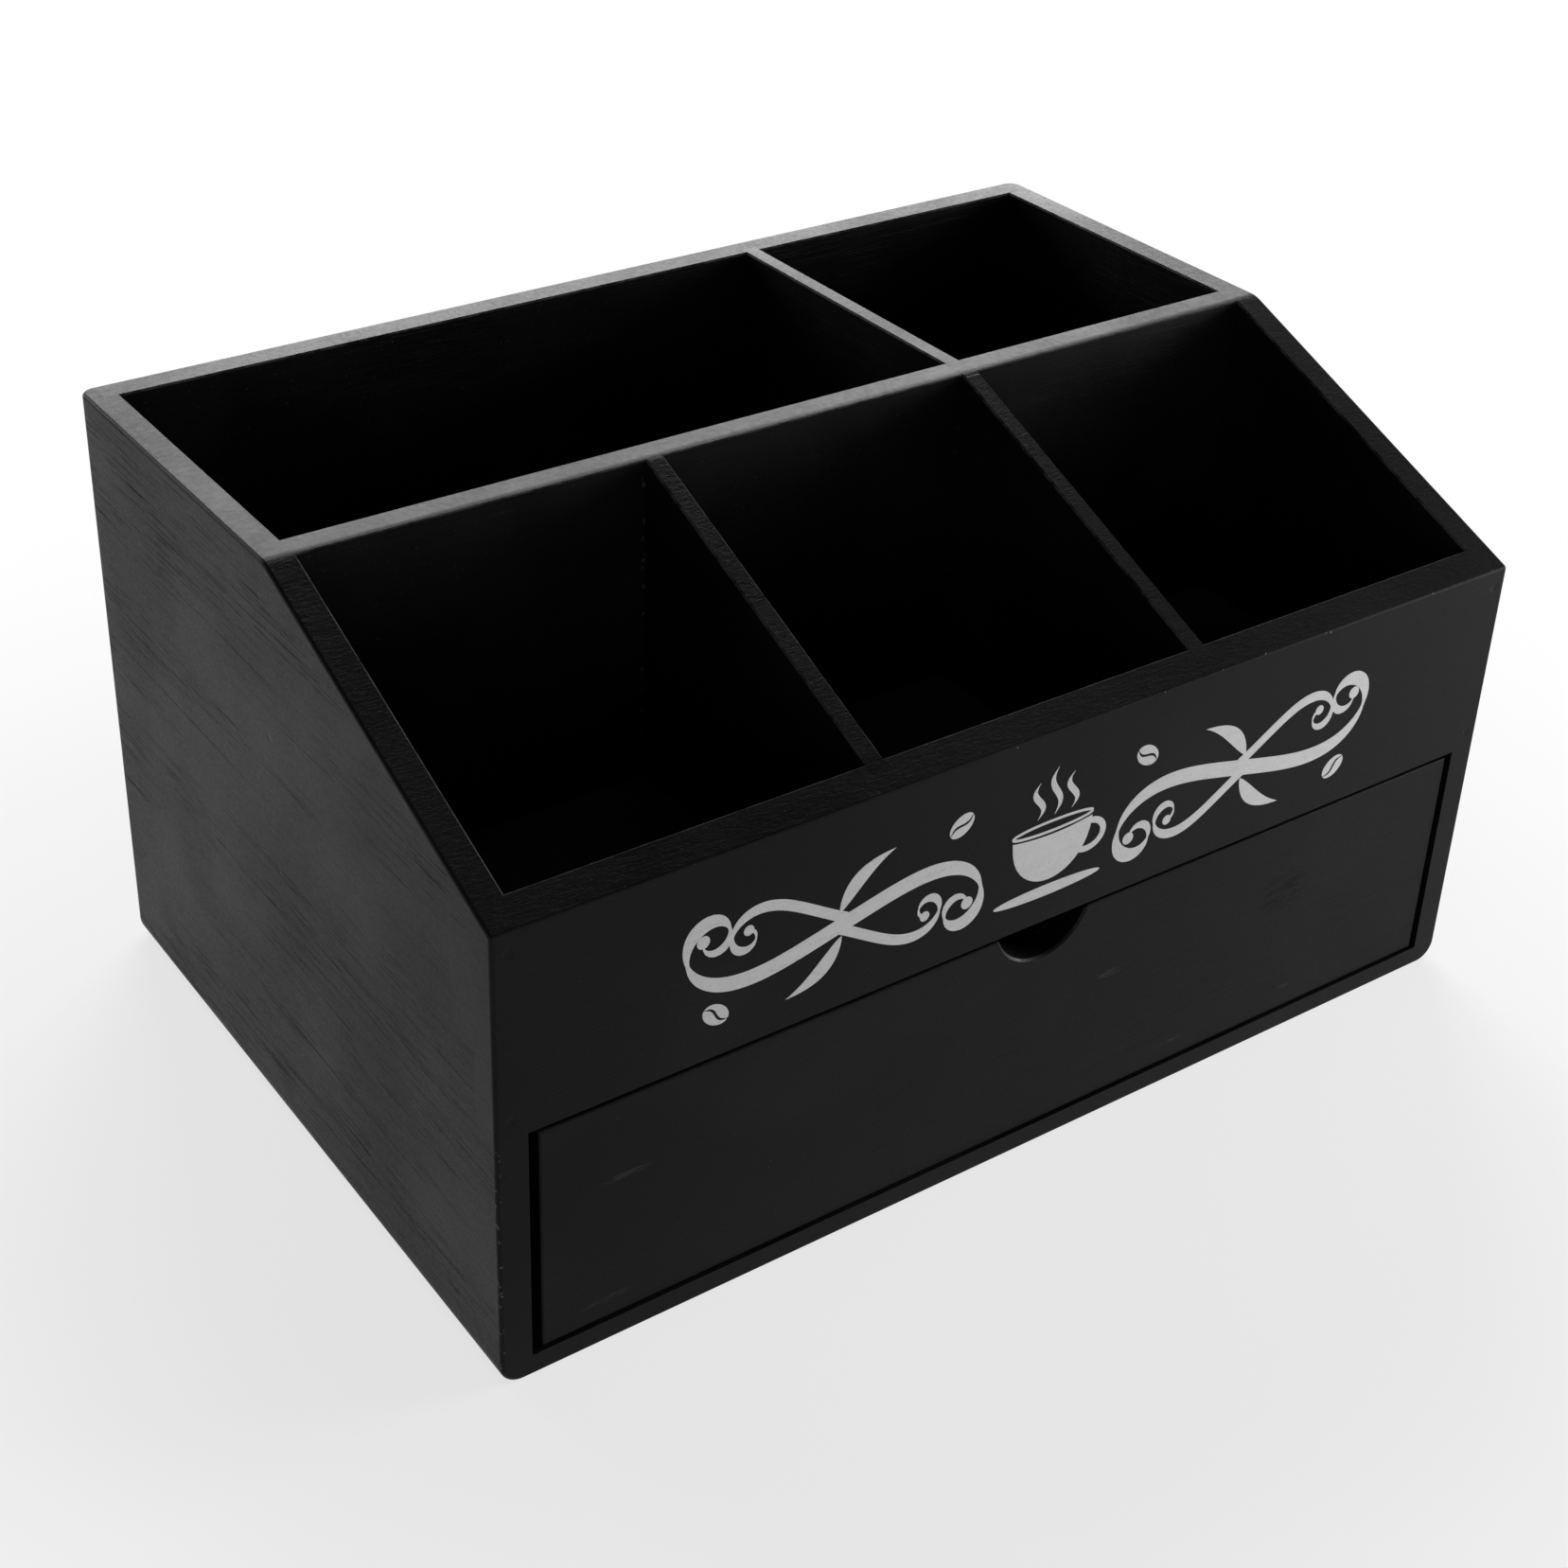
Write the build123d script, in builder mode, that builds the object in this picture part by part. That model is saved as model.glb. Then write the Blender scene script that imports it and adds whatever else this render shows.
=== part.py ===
from build123d import *
import math
import os

# Coffee station organizer: a painted wooden box with five open compartments over one drawer.
# Millimetres. X to the right, Y to the back, Z up. The origin is at the bottom centre of the box.

# Outer box
width = 320.0
depth = 218.2
height = 175.5
front_height = 132.6  # top of the front board, where the slope starts
slope_run = 105.3  # level distance from the front face back to the crest of the slope

# Boards
side_board = 8.5
back_board = 8.5
fascia_board = 8.6
cross_board = 8.5
divider_board = 5.3
base_board = 6.4
floor_board = 5.3

# Layout
fascia_bottom = 75.1  # underside of the front board, which is the top of the drawer's opening
cross_front = 105.0  # level distance from the front face back to the cross divider
front_bays = 3

# Joints between the boards
rabbet_depth = 4.2  # how far the back panel's ends go into the sides
housing_depth = 3.0  # how far the thin dividers go into the boards that hold them
floor_groove_depth = 2.5
glue_gap = 0.05  # all round a housed edge

# Rounded and eased edges
crest_round = 9.0
foot_round = 6.0
heel_round = 4.0
edge_round = 1.0
mouth_ease = 0.5  # bevel round the mouth of each compartment

# Drawer
drawer_front_board = 8.5
drawer_board = 5.3
drawer_bottom_board = 3.0
drawer_side_gap = 2.3  # mean of the gaps at the drawer's two ends
drawer_shift = 0.8  # the drawer sits this far to the right of the middle
drawer_top_gap = 1.7
drawer_foot_gap = 0.5  # under the drawer's front
drawer_run_gap = 0.3  # under the drawer's sides, which slide on the base
drawer_recess = 0.6
drawer_back_gap = 2.0
drawer_side_drop = 4.0  # the drawer's sides end this far below the top of its front
drawer_rabbet_depth = 4.2
drawer_bottom_lift = 3.0
drawer_groove_depth = 2.5
drawer_edge_round = 0.7
notch_radius = 15.2
notch_depth = 10.3
notch_ease = 0.6

# Brads, whose heads lie under filler and paint
brad_length = 15.0
brad_radius = 0.6
brad_head_radius = 1.0
brad_head_thickness = 0.7
brad_sink = 0.8
brad_gap = 0.05  # clearance round a brad in its hole
brad_inset = 5.5  # from the end of a board to its first brad
back_brads_per_side = 4
base_brads_per_side = 3
cross_brads_per_side = 3
fascia_brads_per_side = 2
drawer_brads_per_joint = 2
drawer_bottom_brad_count = 3

overrun = 1.0  # how far a cut runs past the surface that it opens

# Places of the box that follow from the sizes above
half_width = width / 2
front_y = -depth / 2
back_y = depth / 2
inner_x = half_width - side_board
fascia_back_y = front_y + fascia_board
back_panel_y = back_y - back_board
crest_y = front_y + slope_run
cross_front_y = front_y + cross_front
cross_back_y = cross_front_y + cross_board
floor_top = fascia_bottom + floor_board
slope_rise = height - front_height
slope_length = math.hypot(slope_rise, slope_run)
bay_width = (2 * inner_x - (front_bays - 1) * divider_board) / front_bays
bay_step = bay_width + divider_board
front_divider_x = [-inner_x + number * bay_step - divider_board / 2 for number in range(1, front_bays)]
rear_divider_x = front_divider_x[-1]  # in line with the last front divider

# Places of the drawer
drawer_half = inner_x - drawer_side_gap
drawer_left = drawer_shift - drawer_half
drawer_right = drawer_shift + drawer_half
drawer_top = fascia_bottom - drawer_top_gap
drawer_foot = base_board + drawer_foot_gap
drawer_run = base_board + drawer_run_gap
drawer_front_y = front_y + drawer_recess
drawer_inner_y = drawer_front_y + drawer_front_board
drawer_side_y = drawer_inner_y - drawer_rabbet_depth
drawer_back_y = back_panel_y - drawer_back_gap
drawer_side_top = drawer_top - drawer_side_drop
drawer_bottom_z = drawer_run + drawer_bottom_lift
drawer_bottom_top = drawer_bottom_z + drawer_bottom_board


def block(x_limits, y_limits, z_limits, mode=Mode.ADD):
    """A square block between two limits on each axis, in the part being built."""
    lows, highs = zip(x_limits, y_limits, z_limits)
    sizes = [high - low for low, high in zip(lows, highs)]
    with Locations(lows):
        Box(*sizes, align=(Align.MIN, Align.MIN, Align.MIN), mode=mode)


def around(middle, thickness, gap=0):
    """The two faces of a board about its middle plane, with a gap outside each."""
    return middle - thickness / 2 - gap, middle + thickness / 2 + gap


def spread(start, end, count):
    """Places spread evenly from start to end."""
    return [start + (end - start) * step / (count - 1) for step in range(count)]


# Brads


def facing_heads(left_face, right_face, sink, places):
    """Brad planes under two end faces at the given (y, z) places, each facing into the wood."""
    left_heads = [Plane(origin=(left_face + sink, y, z), z_dir=(1, 0, 0)) for y, z in places]
    right_heads = [Plane(origin=(right_face - sink, y, z), z_dir=(-1, 0, 0)) for y, z in places]
    return left_heads + right_heads


def brad_group(label, heads, gap=0):
    """One brad for each plane: its origin is the top of the head, and its Z points into the wood."""
    with BuildPart() as brads:
        for head in heads:
            for radius, length in ((brad_head_radius, brad_head_thickness), (brad_radius, brad_length)):
                with BuildSketch(head):
                    Circle(radius + gap)
                extrude(amount=length + gap)
    brads.part.label = label
    return brads


# The rounded foot leaves less wood outside a base brad's head, so these brads go deeper
foot_reach = max(foot_round - base_board / 2 + brad_head_radius, 0)
foot_inset = foot_round - math.sqrt(foot_round**2 - min(foot_reach, foot_round) ** 2)

back_levels = spread(brad_inset, height - brad_inset, back_brads_per_side)
base_places = spread(fascia_back_y + brad_inset, back_panel_y - brad_inset, base_brads_per_side)
cross_levels = spread(floor_top + brad_inset, height - 2 * brad_inset, cross_brads_per_side)
fascia_levels = spread(fascia_bottom + brad_inset, front_height - brad_inset, fascia_brads_per_side)

back_heads = facing_heads(
    -half_width, half_width, brad_sink, [(back_panel_y + back_board / 2, z) for z in back_levels]
)
base_heads = facing_heads(
    -half_width, half_width, brad_sink + foot_inset, [(y, base_board / 2) for y in base_places]
)
cross_heads = facing_heads(
    -half_width, half_width, brad_sink, [(cross_front_y + cross_board / 2, z) for z in cross_levels]
)
fascia_heads = [
    Plane(origin=(side * (half_width - side_board / 2), front_y + brad_sink, z), z_dir=(0, 1, 0))
    for side in (-1, 1)
    for z in fascia_levels
]

back_brads = brad_group("back_brads", back_heads)
base_brads = brad_group("base_brads", base_heads)
cross_brads = brad_group("cross_brads", cross_heads)
fascia_brads = brad_group("fascia_brads", fascia_heads)
box_heads = back_heads + base_heads + cross_heads + fascia_heads
box_brad_holes = brad_group("box_brad_holes", box_heads, brad_gap)

drawer_levels = spread(drawer_bottom_top + brad_inset, drawer_side_top - brad_inset, drawer_brads_per_joint)
drawer_back_middle = drawer_back_y - drawer_board / 2
drawer_rabbet_middle = drawer_side_y + drawer_rabbet_depth / 2
drawer_front_heads = facing_heads(
    drawer_left, drawer_right, brad_sink, [(drawer_rabbet_middle, z) for z in drawer_levels]
)
drawer_back_heads = facing_heads(
    drawer_left, drawer_right, brad_sink, [(drawer_back_middle, z) for z in drawer_levels]
)
bottom_brad_inset = brad_length + 2 * brad_inset  # clear of the brads that come in through the sides
drawer_bottom_places = spread(
    drawer_left + bottom_brad_inset, drawer_right - bottom_brad_inset, drawer_bottom_brad_count
)
drawer_bottom_heads = [
    Plane(origin=(x, drawer_back_middle, drawer_bottom_z + brad_sink)) for x in drawer_bottom_places
]

drawer_front_brads = brad_group("drawer_front_brads", drawer_front_heads)
drawer_back_brads = brad_group("drawer_back_brads", drawer_back_heads)
drawer_bottom_brads = brad_group("drawer_bottom_brads", drawer_bottom_heads)
drawer_heads = drawer_front_heads + drawer_back_heads + drawer_bottom_heads
drawer_brad_holes = brad_group("drawer_brad_holes", drawer_heads, brad_gap)

# The box as a whole: its sloping outline with every outer edge rounded. Each board is cut to it.
with BuildPart() as envelope:
    with BuildSketch(Plane.YZ.offset(-half_width)):
        with BuildLine():
            Polyline(
                (front_y, 0),
                (back_y, 0),
                (back_y, height),
                (crest_y, height),
                (front_y, front_height),
                close=True,
            )
        make_face()
    extrude(amount=width)
    feet = envelope.edges().filter_by(Axis.Y).group_by(Axis.Z)[0]
    fillet(feet, foot_round)
    heel = envelope.edges().filter_by(Axis.X).group_by(Axis.Z)[0].sort_by(Axis.Y)[-1]
    fillet(heel, heel_round)
    crest = envelope.edges().filter_by(Axis.X).group_by(Axis.Z)[-1].sort_by(Axis.Y)[0]
    fillet(crest, crest_round)
    front_edges = envelope.faces().sort_by(Axis.Y)[0].edges()
    back_edges = envelope.faces().sort_by(Axis.Y)[-1].edges()
    top_edges = envelope.faces().sort_by(Axis.Z)[-1].edges().filter_by(Axis.Y)
    fillet(front_edges + back_edges + top_edges, edge_round)

# The mouths of the compartments: each is a thin wedge that widens upwards and bevels the rim round it
with BuildPart() as mouths:
    front_middle_y = (fascia_back_y + cross_front_y) / 2
    front_middle_z = front_height + (front_middle_y - front_y) * slope_rise / slope_run
    front_mouth_length = (cross_front_y - fascia_back_y) * slope_length / slope_run
    mouth_list = []
    for number in range(front_bays):
        bay_x = -inner_x + bay_width / 2 + number * bay_step
        slope_plane = Plane(
            origin=(bay_x, front_middle_y, front_middle_z),
            x_dir=(1, 0, 0),
            z_dir=(0, -slope_rise, slope_run),
        )
        mouth_list.append((slope_plane, bay_width, front_mouth_length))
    rear_divider_left, rear_divider_right = around(rear_divider_x, divider_board)
    for left_x, right_x in ((-inner_x, rear_divider_left), (rear_divider_right, inner_x)):
        top_plane = Plane(origin=((left_x + right_x) / 2, (cross_back_y + back_panel_y) / 2, height))
        mouth_list.append((top_plane, right_x - left_x, back_panel_y - cross_back_y))
    for plane, mouth_width, mouth_length in mouth_list:
        with BuildSketch(plane.offset(-mouth_ease)):
            Rectangle(mouth_width, mouth_length)
        flare = mouth_ease + overrun
        with BuildSketch(plane.offset(overrun)):
            Rectangle(mouth_width + 2 * flare, mouth_length + 2 * flare)
        loft()


def finish_board():
    """Cuts the board being built to the box's outline, the compartments' mouths and the brad holes."""
    add(envelope.part, mode=Mode.INTERSECT)
    add(mouths.part, mode=Mode.SUBTRACT)
    add(box_brad_holes.part, mode=Mode.SUBTRACT)


# Sides: the left one is made, and the right one is its mirror image
with BuildPart() as left_side:
    block((-half_width, -inner_x), (front_y, back_y), (0, height))
    block(
        (-half_width - overrun, -inner_x + overrun),
        (front_y - overrun, fascia_back_y),
        (fascia_bottom, height),
        Mode.SUBTRACT,
    )
    block(
        (-inner_x - rabbet_depth, -inner_x + overrun),
        (back_panel_y, back_y + overrun),
        (-overrun, height + overrun),
        Mode.SUBTRACT,
    )
    block(
        (-inner_x - floor_groove_depth - glue_gap, -inner_x + overrun),
        (fascia_back_y - overrun, back_panel_y + overrun),
        (fascia_bottom - glue_gap, floor_top + glue_gap),
        Mode.SUBTRACT,
    )
    finish_board()
left_side.part.label = "left_side"

with BuildPart() as right_side:
    mirror(left_side.part, about=Plane.YZ)
right_side.part.label = "right_side"

with BuildPart() as back_panel:
    block((-inner_x - rabbet_depth, inner_x + rabbet_depth), (back_panel_y, back_y), (0, height))
    block(
        around(rear_divider_x, divider_board, glue_gap),
        (back_panel_y - overrun, back_panel_y + housing_depth + glue_gap),
        (floor_top, height + overrun),
        Mode.SUBTRACT,
    )
    finish_board()
back_panel.part.label = "back_panel"

with BuildPart() as front_fascia:
    block((-half_width, half_width), (front_y, fascia_back_y), (fascia_bottom, height))
    for divider_x in front_divider_x:
        block(
            around(divider_x, divider_board, glue_gap),
            (fascia_back_y - housing_depth - glue_gap, fascia_back_y + overrun),
            (floor_top, height + overrun),
            Mode.SUBTRACT,
        )
    finish_board()
front_fascia.part.label = "front_fascia"

with BuildPart() as cross_divider:
    block((-inner_x, inner_x), (cross_front_y, cross_back_y), (floor_top, height))
    for divider_x in front_divider_x:
        block(
            around(divider_x, divider_board, glue_gap),
            (cross_front_y - overrun, cross_front_y + housing_depth + glue_gap),
            (floor_top - overrun, height + overrun),
            Mode.SUBTRACT,
        )
    block(
        around(rear_divider_x, divider_board, glue_gap),
        (cross_back_y - housing_depth - glue_gap, cross_back_y + overrun),
        (floor_top - overrun, height + overrun),
        Mode.SUBTRACT,
    )
    finish_board()
cross_divider.part.label = "cross_divider"

front_dividers = []
for number, divider_x in enumerate(front_divider_x, start=1):
    with BuildPart() as front_divider:
        block(
            around(divider_x, divider_board),
            (fascia_back_y - housing_depth, cross_front_y + housing_depth),
            (floor_top, height),
        )
        finish_board()
    front_divider.part.label = f"front_divider_{number}"
    front_dividers.append(front_divider)

with BuildPart() as rear_divider:
    block(
        around(rear_divider_x, divider_board),
        (cross_back_y - housing_depth, back_panel_y + housing_depth),
        (floor_top, height),
    )
    finish_board()
rear_divider.part.label = "rear_divider"

with BuildPart() as compartment_floor:
    block(
        (-inner_x - floor_groove_depth, inner_x + floor_groove_depth),
        (fascia_back_y, back_panel_y),
        (fascia_bottom, floor_top),
    )
compartment_floor.part.label = "compartment_floor"

with BuildPart() as base_panel:
    block((-inner_x, inner_x), (front_y, back_panel_y), (0, base_board))
    finish_board()
base_panel.part.label = "base_panel"

# Drawer front, with a finger notch in its top edge and rabbets for the drawer's sides
with BuildPart() as drawer_front:
    block((drawer_left, drawer_right), (drawer_front_y, drawer_inner_y), (drawer_foot, drawer_top))
    front_rim = drawer_front.faces().sort_by(Axis.Y)[0].edges()
    fillet(front_rim, drawer_edge_round)
    with BuildSketch(Plane.XZ.offset(-drawer_front_y + overrun)):
        with Locations((drawer_shift, drawer_top - notch_depth + notch_radius)):
            Circle(notch_radius)
    extrude(amount=-drawer_front_board - 2 * overrun, mode=Mode.SUBTRACT)
    notch_rims = drawer_front.edges().filter_by(GeomType.CIRCLE).sort_by(SortBy.RADIUS)[-2:]
    chamfer(notch_rims, notch_ease)
    for side in (-1, 1):
        end_x = drawer_shift + side * drawer_half
        block(
            sorted((end_x + side * overrun, end_x - side * drawer_board)),
            (drawer_side_y, drawer_inner_y + overrun),
            (drawer_foot - overrun, drawer_top + overrun),
            Mode.SUBTRACT,
        )
    block(
        (drawer_left - overrun, drawer_right + overrun),
        (drawer_inner_y - drawer_groove_depth - glue_gap, drawer_inner_y + overrun),
        (drawer_bottom_z - glue_gap, drawer_bottom_top + glue_gap),
        Mode.SUBTRACT,
    )
    add(drawer_brad_holes.part, mode=Mode.SUBTRACT)
drawer_front.part.label = "drawer_front"

# Drawer sides: the left one is made, and the right one is its mirror image about the drawer's middle
with BuildPart() as drawer_left_side:
    block(
        (drawer_left, drawer_left + drawer_board),
        (drawer_side_y, drawer_back_y),
        (drawer_run, drawer_side_top),
    )
    upper_edges = drawer_left_side.edges().filter_by(Axis.Y).group_by(Axis.Z)[-1]
    fillet(upper_edges, drawer_edge_round)
    block(
        (drawer_left + drawer_board - drawer_groove_depth - glue_gap, drawer_left + drawer_board + overrun),
        (drawer_side_y - overrun, drawer_back_y + overrun),
        (drawer_bottom_z - glue_gap, drawer_bottom_top + glue_gap),
        Mode.SUBTRACT,
    )
    add(drawer_brad_holes.part, mode=Mode.SUBTRACT)
drawer_left_side.part.label = "drawer_left_side"

with BuildPart() as drawer_right_side:
    mirror(drawer_left_side.part, about=Plane.YZ.offset(drawer_shift))
drawer_right_side.part.label = "drawer_right_side"

with BuildPart() as drawer_back:
    block(
        (drawer_left + drawer_board, drawer_right - drawer_board),
        (drawer_back_y - drawer_board, drawer_back_y),
        (drawer_bottom_top, drawer_side_top),
    )
    upper_edges = drawer_back.edges().filter_by(Axis.X).group_by(Axis.Z)[-1]
    fillet(upper_edges, drawer_edge_round)
    add(drawer_brad_holes.part, mode=Mode.SUBTRACT)
drawer_back.part.label = "drawer_back"

with BuildPart() as drawer_bottom:
    bottom_inset = drawer_board - drawer_groove_depth
    block(
        (drawer_left + bottom_inset, drawer_right - bottom_inset),
        (drawer_inner_y - drawer_groove_depth, drawer_back_y),
        (drawer_bottom_z, drawer_bottom_top),
    )
    add(drawer_brad_holes.part, mode=Mode.SUBTRACT)
drawer_bottom.part.label = "drawer_bottom"

# One file for each piece
box_boards = [left_side, right_side, back_panel, front_fascia, cross_divider, rear_divider, *front_dividers]
box_panels = [compartment_floor, base_panel]
box_brads = [back_brads, base_brads, cross_brads, fascia_brads]
drawer_boards = [drawer_front, drawer_left_side, drawer_right_side, drawer_back, drawer_bottom]
drawer_brads = [drawer_front_brads, drawer_back_brads, drawer_bottom_brads]
os.makedirs("parts", exist_ok=True)
for piece in box_boards + box_panels + box_brads + drawer_boards + drawer_brads:
    export_step(piece.part, f"parts/{piece.part.label}.step")
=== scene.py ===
import bpy
import math
from mathutils import Matrix, Vector
from mathutils.geometry import delaunay_2d_cdt


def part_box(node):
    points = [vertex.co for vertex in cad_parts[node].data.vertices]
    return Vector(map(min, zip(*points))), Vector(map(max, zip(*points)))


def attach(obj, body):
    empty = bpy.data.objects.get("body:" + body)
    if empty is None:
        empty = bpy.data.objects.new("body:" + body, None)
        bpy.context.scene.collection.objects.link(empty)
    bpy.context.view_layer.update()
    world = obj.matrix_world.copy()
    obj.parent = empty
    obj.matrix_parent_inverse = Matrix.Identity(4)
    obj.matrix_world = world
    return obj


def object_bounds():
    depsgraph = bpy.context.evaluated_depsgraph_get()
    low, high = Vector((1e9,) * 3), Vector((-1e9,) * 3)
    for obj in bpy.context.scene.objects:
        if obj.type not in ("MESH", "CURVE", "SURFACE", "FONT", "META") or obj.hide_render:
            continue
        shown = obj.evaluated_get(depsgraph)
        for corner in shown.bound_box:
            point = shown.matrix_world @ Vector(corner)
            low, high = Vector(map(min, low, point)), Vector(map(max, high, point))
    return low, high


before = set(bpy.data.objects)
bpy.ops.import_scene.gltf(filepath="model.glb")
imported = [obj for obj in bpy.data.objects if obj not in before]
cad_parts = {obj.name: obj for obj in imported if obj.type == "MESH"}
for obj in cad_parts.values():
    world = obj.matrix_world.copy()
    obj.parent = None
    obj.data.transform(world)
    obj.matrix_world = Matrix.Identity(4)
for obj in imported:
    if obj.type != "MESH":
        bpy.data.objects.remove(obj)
cad_low, cad_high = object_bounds()

# Blender works in metres. A size or place marked mm is in millimetres, on the part's own axes.
MM = 0.001
TURN = 2 * math.pi
X, Y, Z = range(3)
LOW, HIGH = range(2)
scene = bpy.context.scene
scene.view_settings.view_transform = "Standard"

# Camera, in metres

CAMERA_PLACE = Vector((-0.3728, -0.5001, 0.4613))
CAMERA_LOOK = Vector((0.4994, 0.7076, -0.4999))
CAMERA_RIGHT = Vector((0.8254, -0.5639, 0.0262))
LENS_MM = 59.09
SENSOR_MM = 36.0
SHIFT_X = 0.0273
SHIFT_Y = -0.0872
CLIP_NEAR = 0.01
CLIP_FAR = 50.0


def make_camera():
    """The camera at the photograph's place, built from its line of sight and its right-hand direction."""
    look = CAMERA_LOOK.normalized()
    right = (CAMERA_RIGHT - look * CAMERA_RIGHT.dot(look)).normalized()
    up = right.cross(look)
    data = bpy.data.cameras.new("camera")
    data.lens = LENS_MM
    data.sensor_width = SENSOR_MM
    data.shift_x = SHIFT_X
    data.shift_y = SHIFT_Y
    data.clip_start = CLIP_NEAR
    data.clip_end = CLIP_FAR
    camera = bpy.data.objects.new("camera", data)
    scene.collection.objects.link(camera)
    turn = Matrix((right, up, -look)).transposed()
    camera.matrix_world = Matrix.Translation(CAMERA_PLACE) @ turn.to_4x4()
    scene.camera = camera


make_camera()


# Node helpers

class ShaderTree:
    """Short ways to add and join shader nodes."""

    def __init__(self, data):
        self.data = data
        data.nodes.clear()

    def node(self, kind, **values):
        made = self.data.nodes.new(kind)
        for name, value in values.items():
            setattr(made, name, value)
        return made

    def put(self, value, socket):
        """Joins an output to a socket, or sets the socket to a constant."""
        if isinstance(value, bpy.types.NodeSocket):
            self.data.links.new(value, socket)
        else:
            socket.default_value = value

    def math(self, operation, first, second=0.0, clamp=False):
        made = self.node("ShaderNodeMath", operation=operation, use_clamp=clamp)
        self.put(first, made.inputs[0])
        self.put(second, made.inputs[1])
        return made.outputs[0]

    def product(self, first, second):
        return self.math("MULTIPLY", first, second)

    def ramp(self, value, low, high, out_low=0.0, out_high=1.0):
        """A smooth step from one output to the other, while the value goes from low to high."""
        made = self.node("ShaderNodeMapRange", clamp=True, interpolation_type="SMOOTHSTEP")
        for item, socket in zip((value, low, high, out_low, out_high), made.inputs):
            self.put(item, socket)
        return made.outputs[0]

    def vector(self, operation, first, second=(0.0, 0.0, 0.0)):
        made = self.node("ShaderNodeVectorMath", operation=operation)
        self.put(first, made.inputs[0])
        self.put(second, made.inputs[1])
        return made.outputs["Vector"]

    def measure(self, operation, first, second=(0.0, 0.0, 0.0)):
        """A number worked out from vectors: a dot product, a distance or a length."""
        made = self.node("ShaderNodeVectorMath", operation=operation)
        self.put(first, made.inputs[0])
        self.put(second, made.inputs[1])
        return made.outputs["Value"]

    def scaled(self, vector, scale, offset=(0.0, 0.0, 0.0)):
        made = self.node("ShaderNodeVectorMath", operation="MULTIPLY_ADD")
        for item, socket in zip((vector, scale, offset), made.inputs):
            self.put(item, socket)
        return made.outputs["Vector"]

    def split(self, vector):
        made = self.node("ShaderNodeSeparateXYZ")
        self.put(vector, made.inputs[0])
        return made.outputs

    def noise(self, vector, detail, roughness, distortion=0.0):
        """Noise of scale 1 on a vector that is already scaled, from 0 to 1."""
        made = self.node("ShaderNodeTexNoise", noise_dimensions="3D")
        self.put(vector, made.inputs["Vector"])
        made.inputs["Scale"].default_value = 1.0
        made.inputs["Detail"].default_value = detail
        made.inputs["Roughness"].default_value = roughness
        made.inputs["Distortion"].default_value = distortion
        return made.outputs["Fac"]

    def mix(self, factor, first, second):
        """The first colour where the factor is 0, the second where it is 1."""
        made = self.node("ShaderNodeMix", data_type="RGBA")
        self.put(factor, made.inputs["Factor"])
        self.put(first, made.inputs[6])
        self.put(second, made.inputs[7])
        return made.outputs[2]

    def bump(self, height, distance):
        """The normal of a relief; distance is in metres for a height of 1."""
        made = self.node("ShaderNodeBump")
        made.inputs["Strength"].default_value = 1.0
        made.inputs["Distance"].default_value = distance
        self.put(height, made.inputs["Height"])
        return made.outputs["Normal"]

    def place(self):
        """The point that is shaded, in metres on its object's own axes."""
        return self.node("ShaderNodeTexCoord").outputs["Object"]

    def true_normal(self):
        return self.node("ShaderNodeNewGeometry").outputs["True Normal"]

    def surface(self, shader, output="ShaderNodeOutputMaterial"):
        """Makes a shader the surface of the material or the world."""
        self.put(shader.outputs[0], self.node(output).inputs["Surface"])

    def principled(self, colour, roughness, normal):
        """A Principled shader that is the material's surface."""
        shader = self.node("ShaderNodeBsdfPrincipled")
        self.put(colour, shader.inputs["Base Color"])
        self.put(roughness, shader.inputs["Roughness"])
        self.put(normal, shader.inputs["Normal"])
        self.surface(shader)
        return shader


def new_material(name):
    made = bpy.data.materials.new(name)
    made.use_nodes = True
    return made, ShaderTree(made.node_tree)


def dress(node, made):
    """Gives a CAD node's object a new material, on the object and not on its mesh."""
    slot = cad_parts[node].material_slots[0]
    slot.link = "OBJECT"
    slot.material = made


# Places on the box, mm

def edge_of(node, side, axis):
    """Where a CAD node ends along an axis, on its low or its high side."""
    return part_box(node)[side][axis] / MM


def middle_of(node, axis):
    """The middle of a CAD node along an axis."""
    return (edge_of(node, LOW, axis) + edge_of(node, HIGH, axis)) / 2


def spread(start, stop, count):
    """Places spread evenly from start to stop."""
    return [start + (stop - start) * step / (count - 1) for step in range(count)]


FRONT_HEIGHT = 132.6  # of the front board's outer face, where the slope starts
SLOPE_RUN = 105.3  # level length of the slope
LEFT = edge_of("left_side", LOW, X)
LEFT_INNER = edge_of("left_side", HIGH, X)
RIGHT_INNER = edge_of("right_side", LOW, X)
RIGHT = edge_of("right_side", HIGH, X)
TOP = edge_of("left_side", HIGH, Z)
FRONT = edge_of("front_fascia", LOW, Y)
FASCIA_BACK = edge_of("front_fascia", HIGH, Y)
FASCIA_BOTTOM = edge_of("front_fascia", LOW, Z)
CROSS_FRONT = edge_of("cross_divider", LOW, Y)
PANEL_LEFT = edge_of("back_panel", LOW, X)
PANEL_FRONT = edge_of("back_panel", LOW, Y)
FLOOR_TOP = edge_of("compartment_floor", HIGH, Z)
SLOPE_UP = Vector((0.0, FRONT_HEIGHT - TOP, SLOPE_RUN)).normalized()  # the sloping edges' normal

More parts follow.
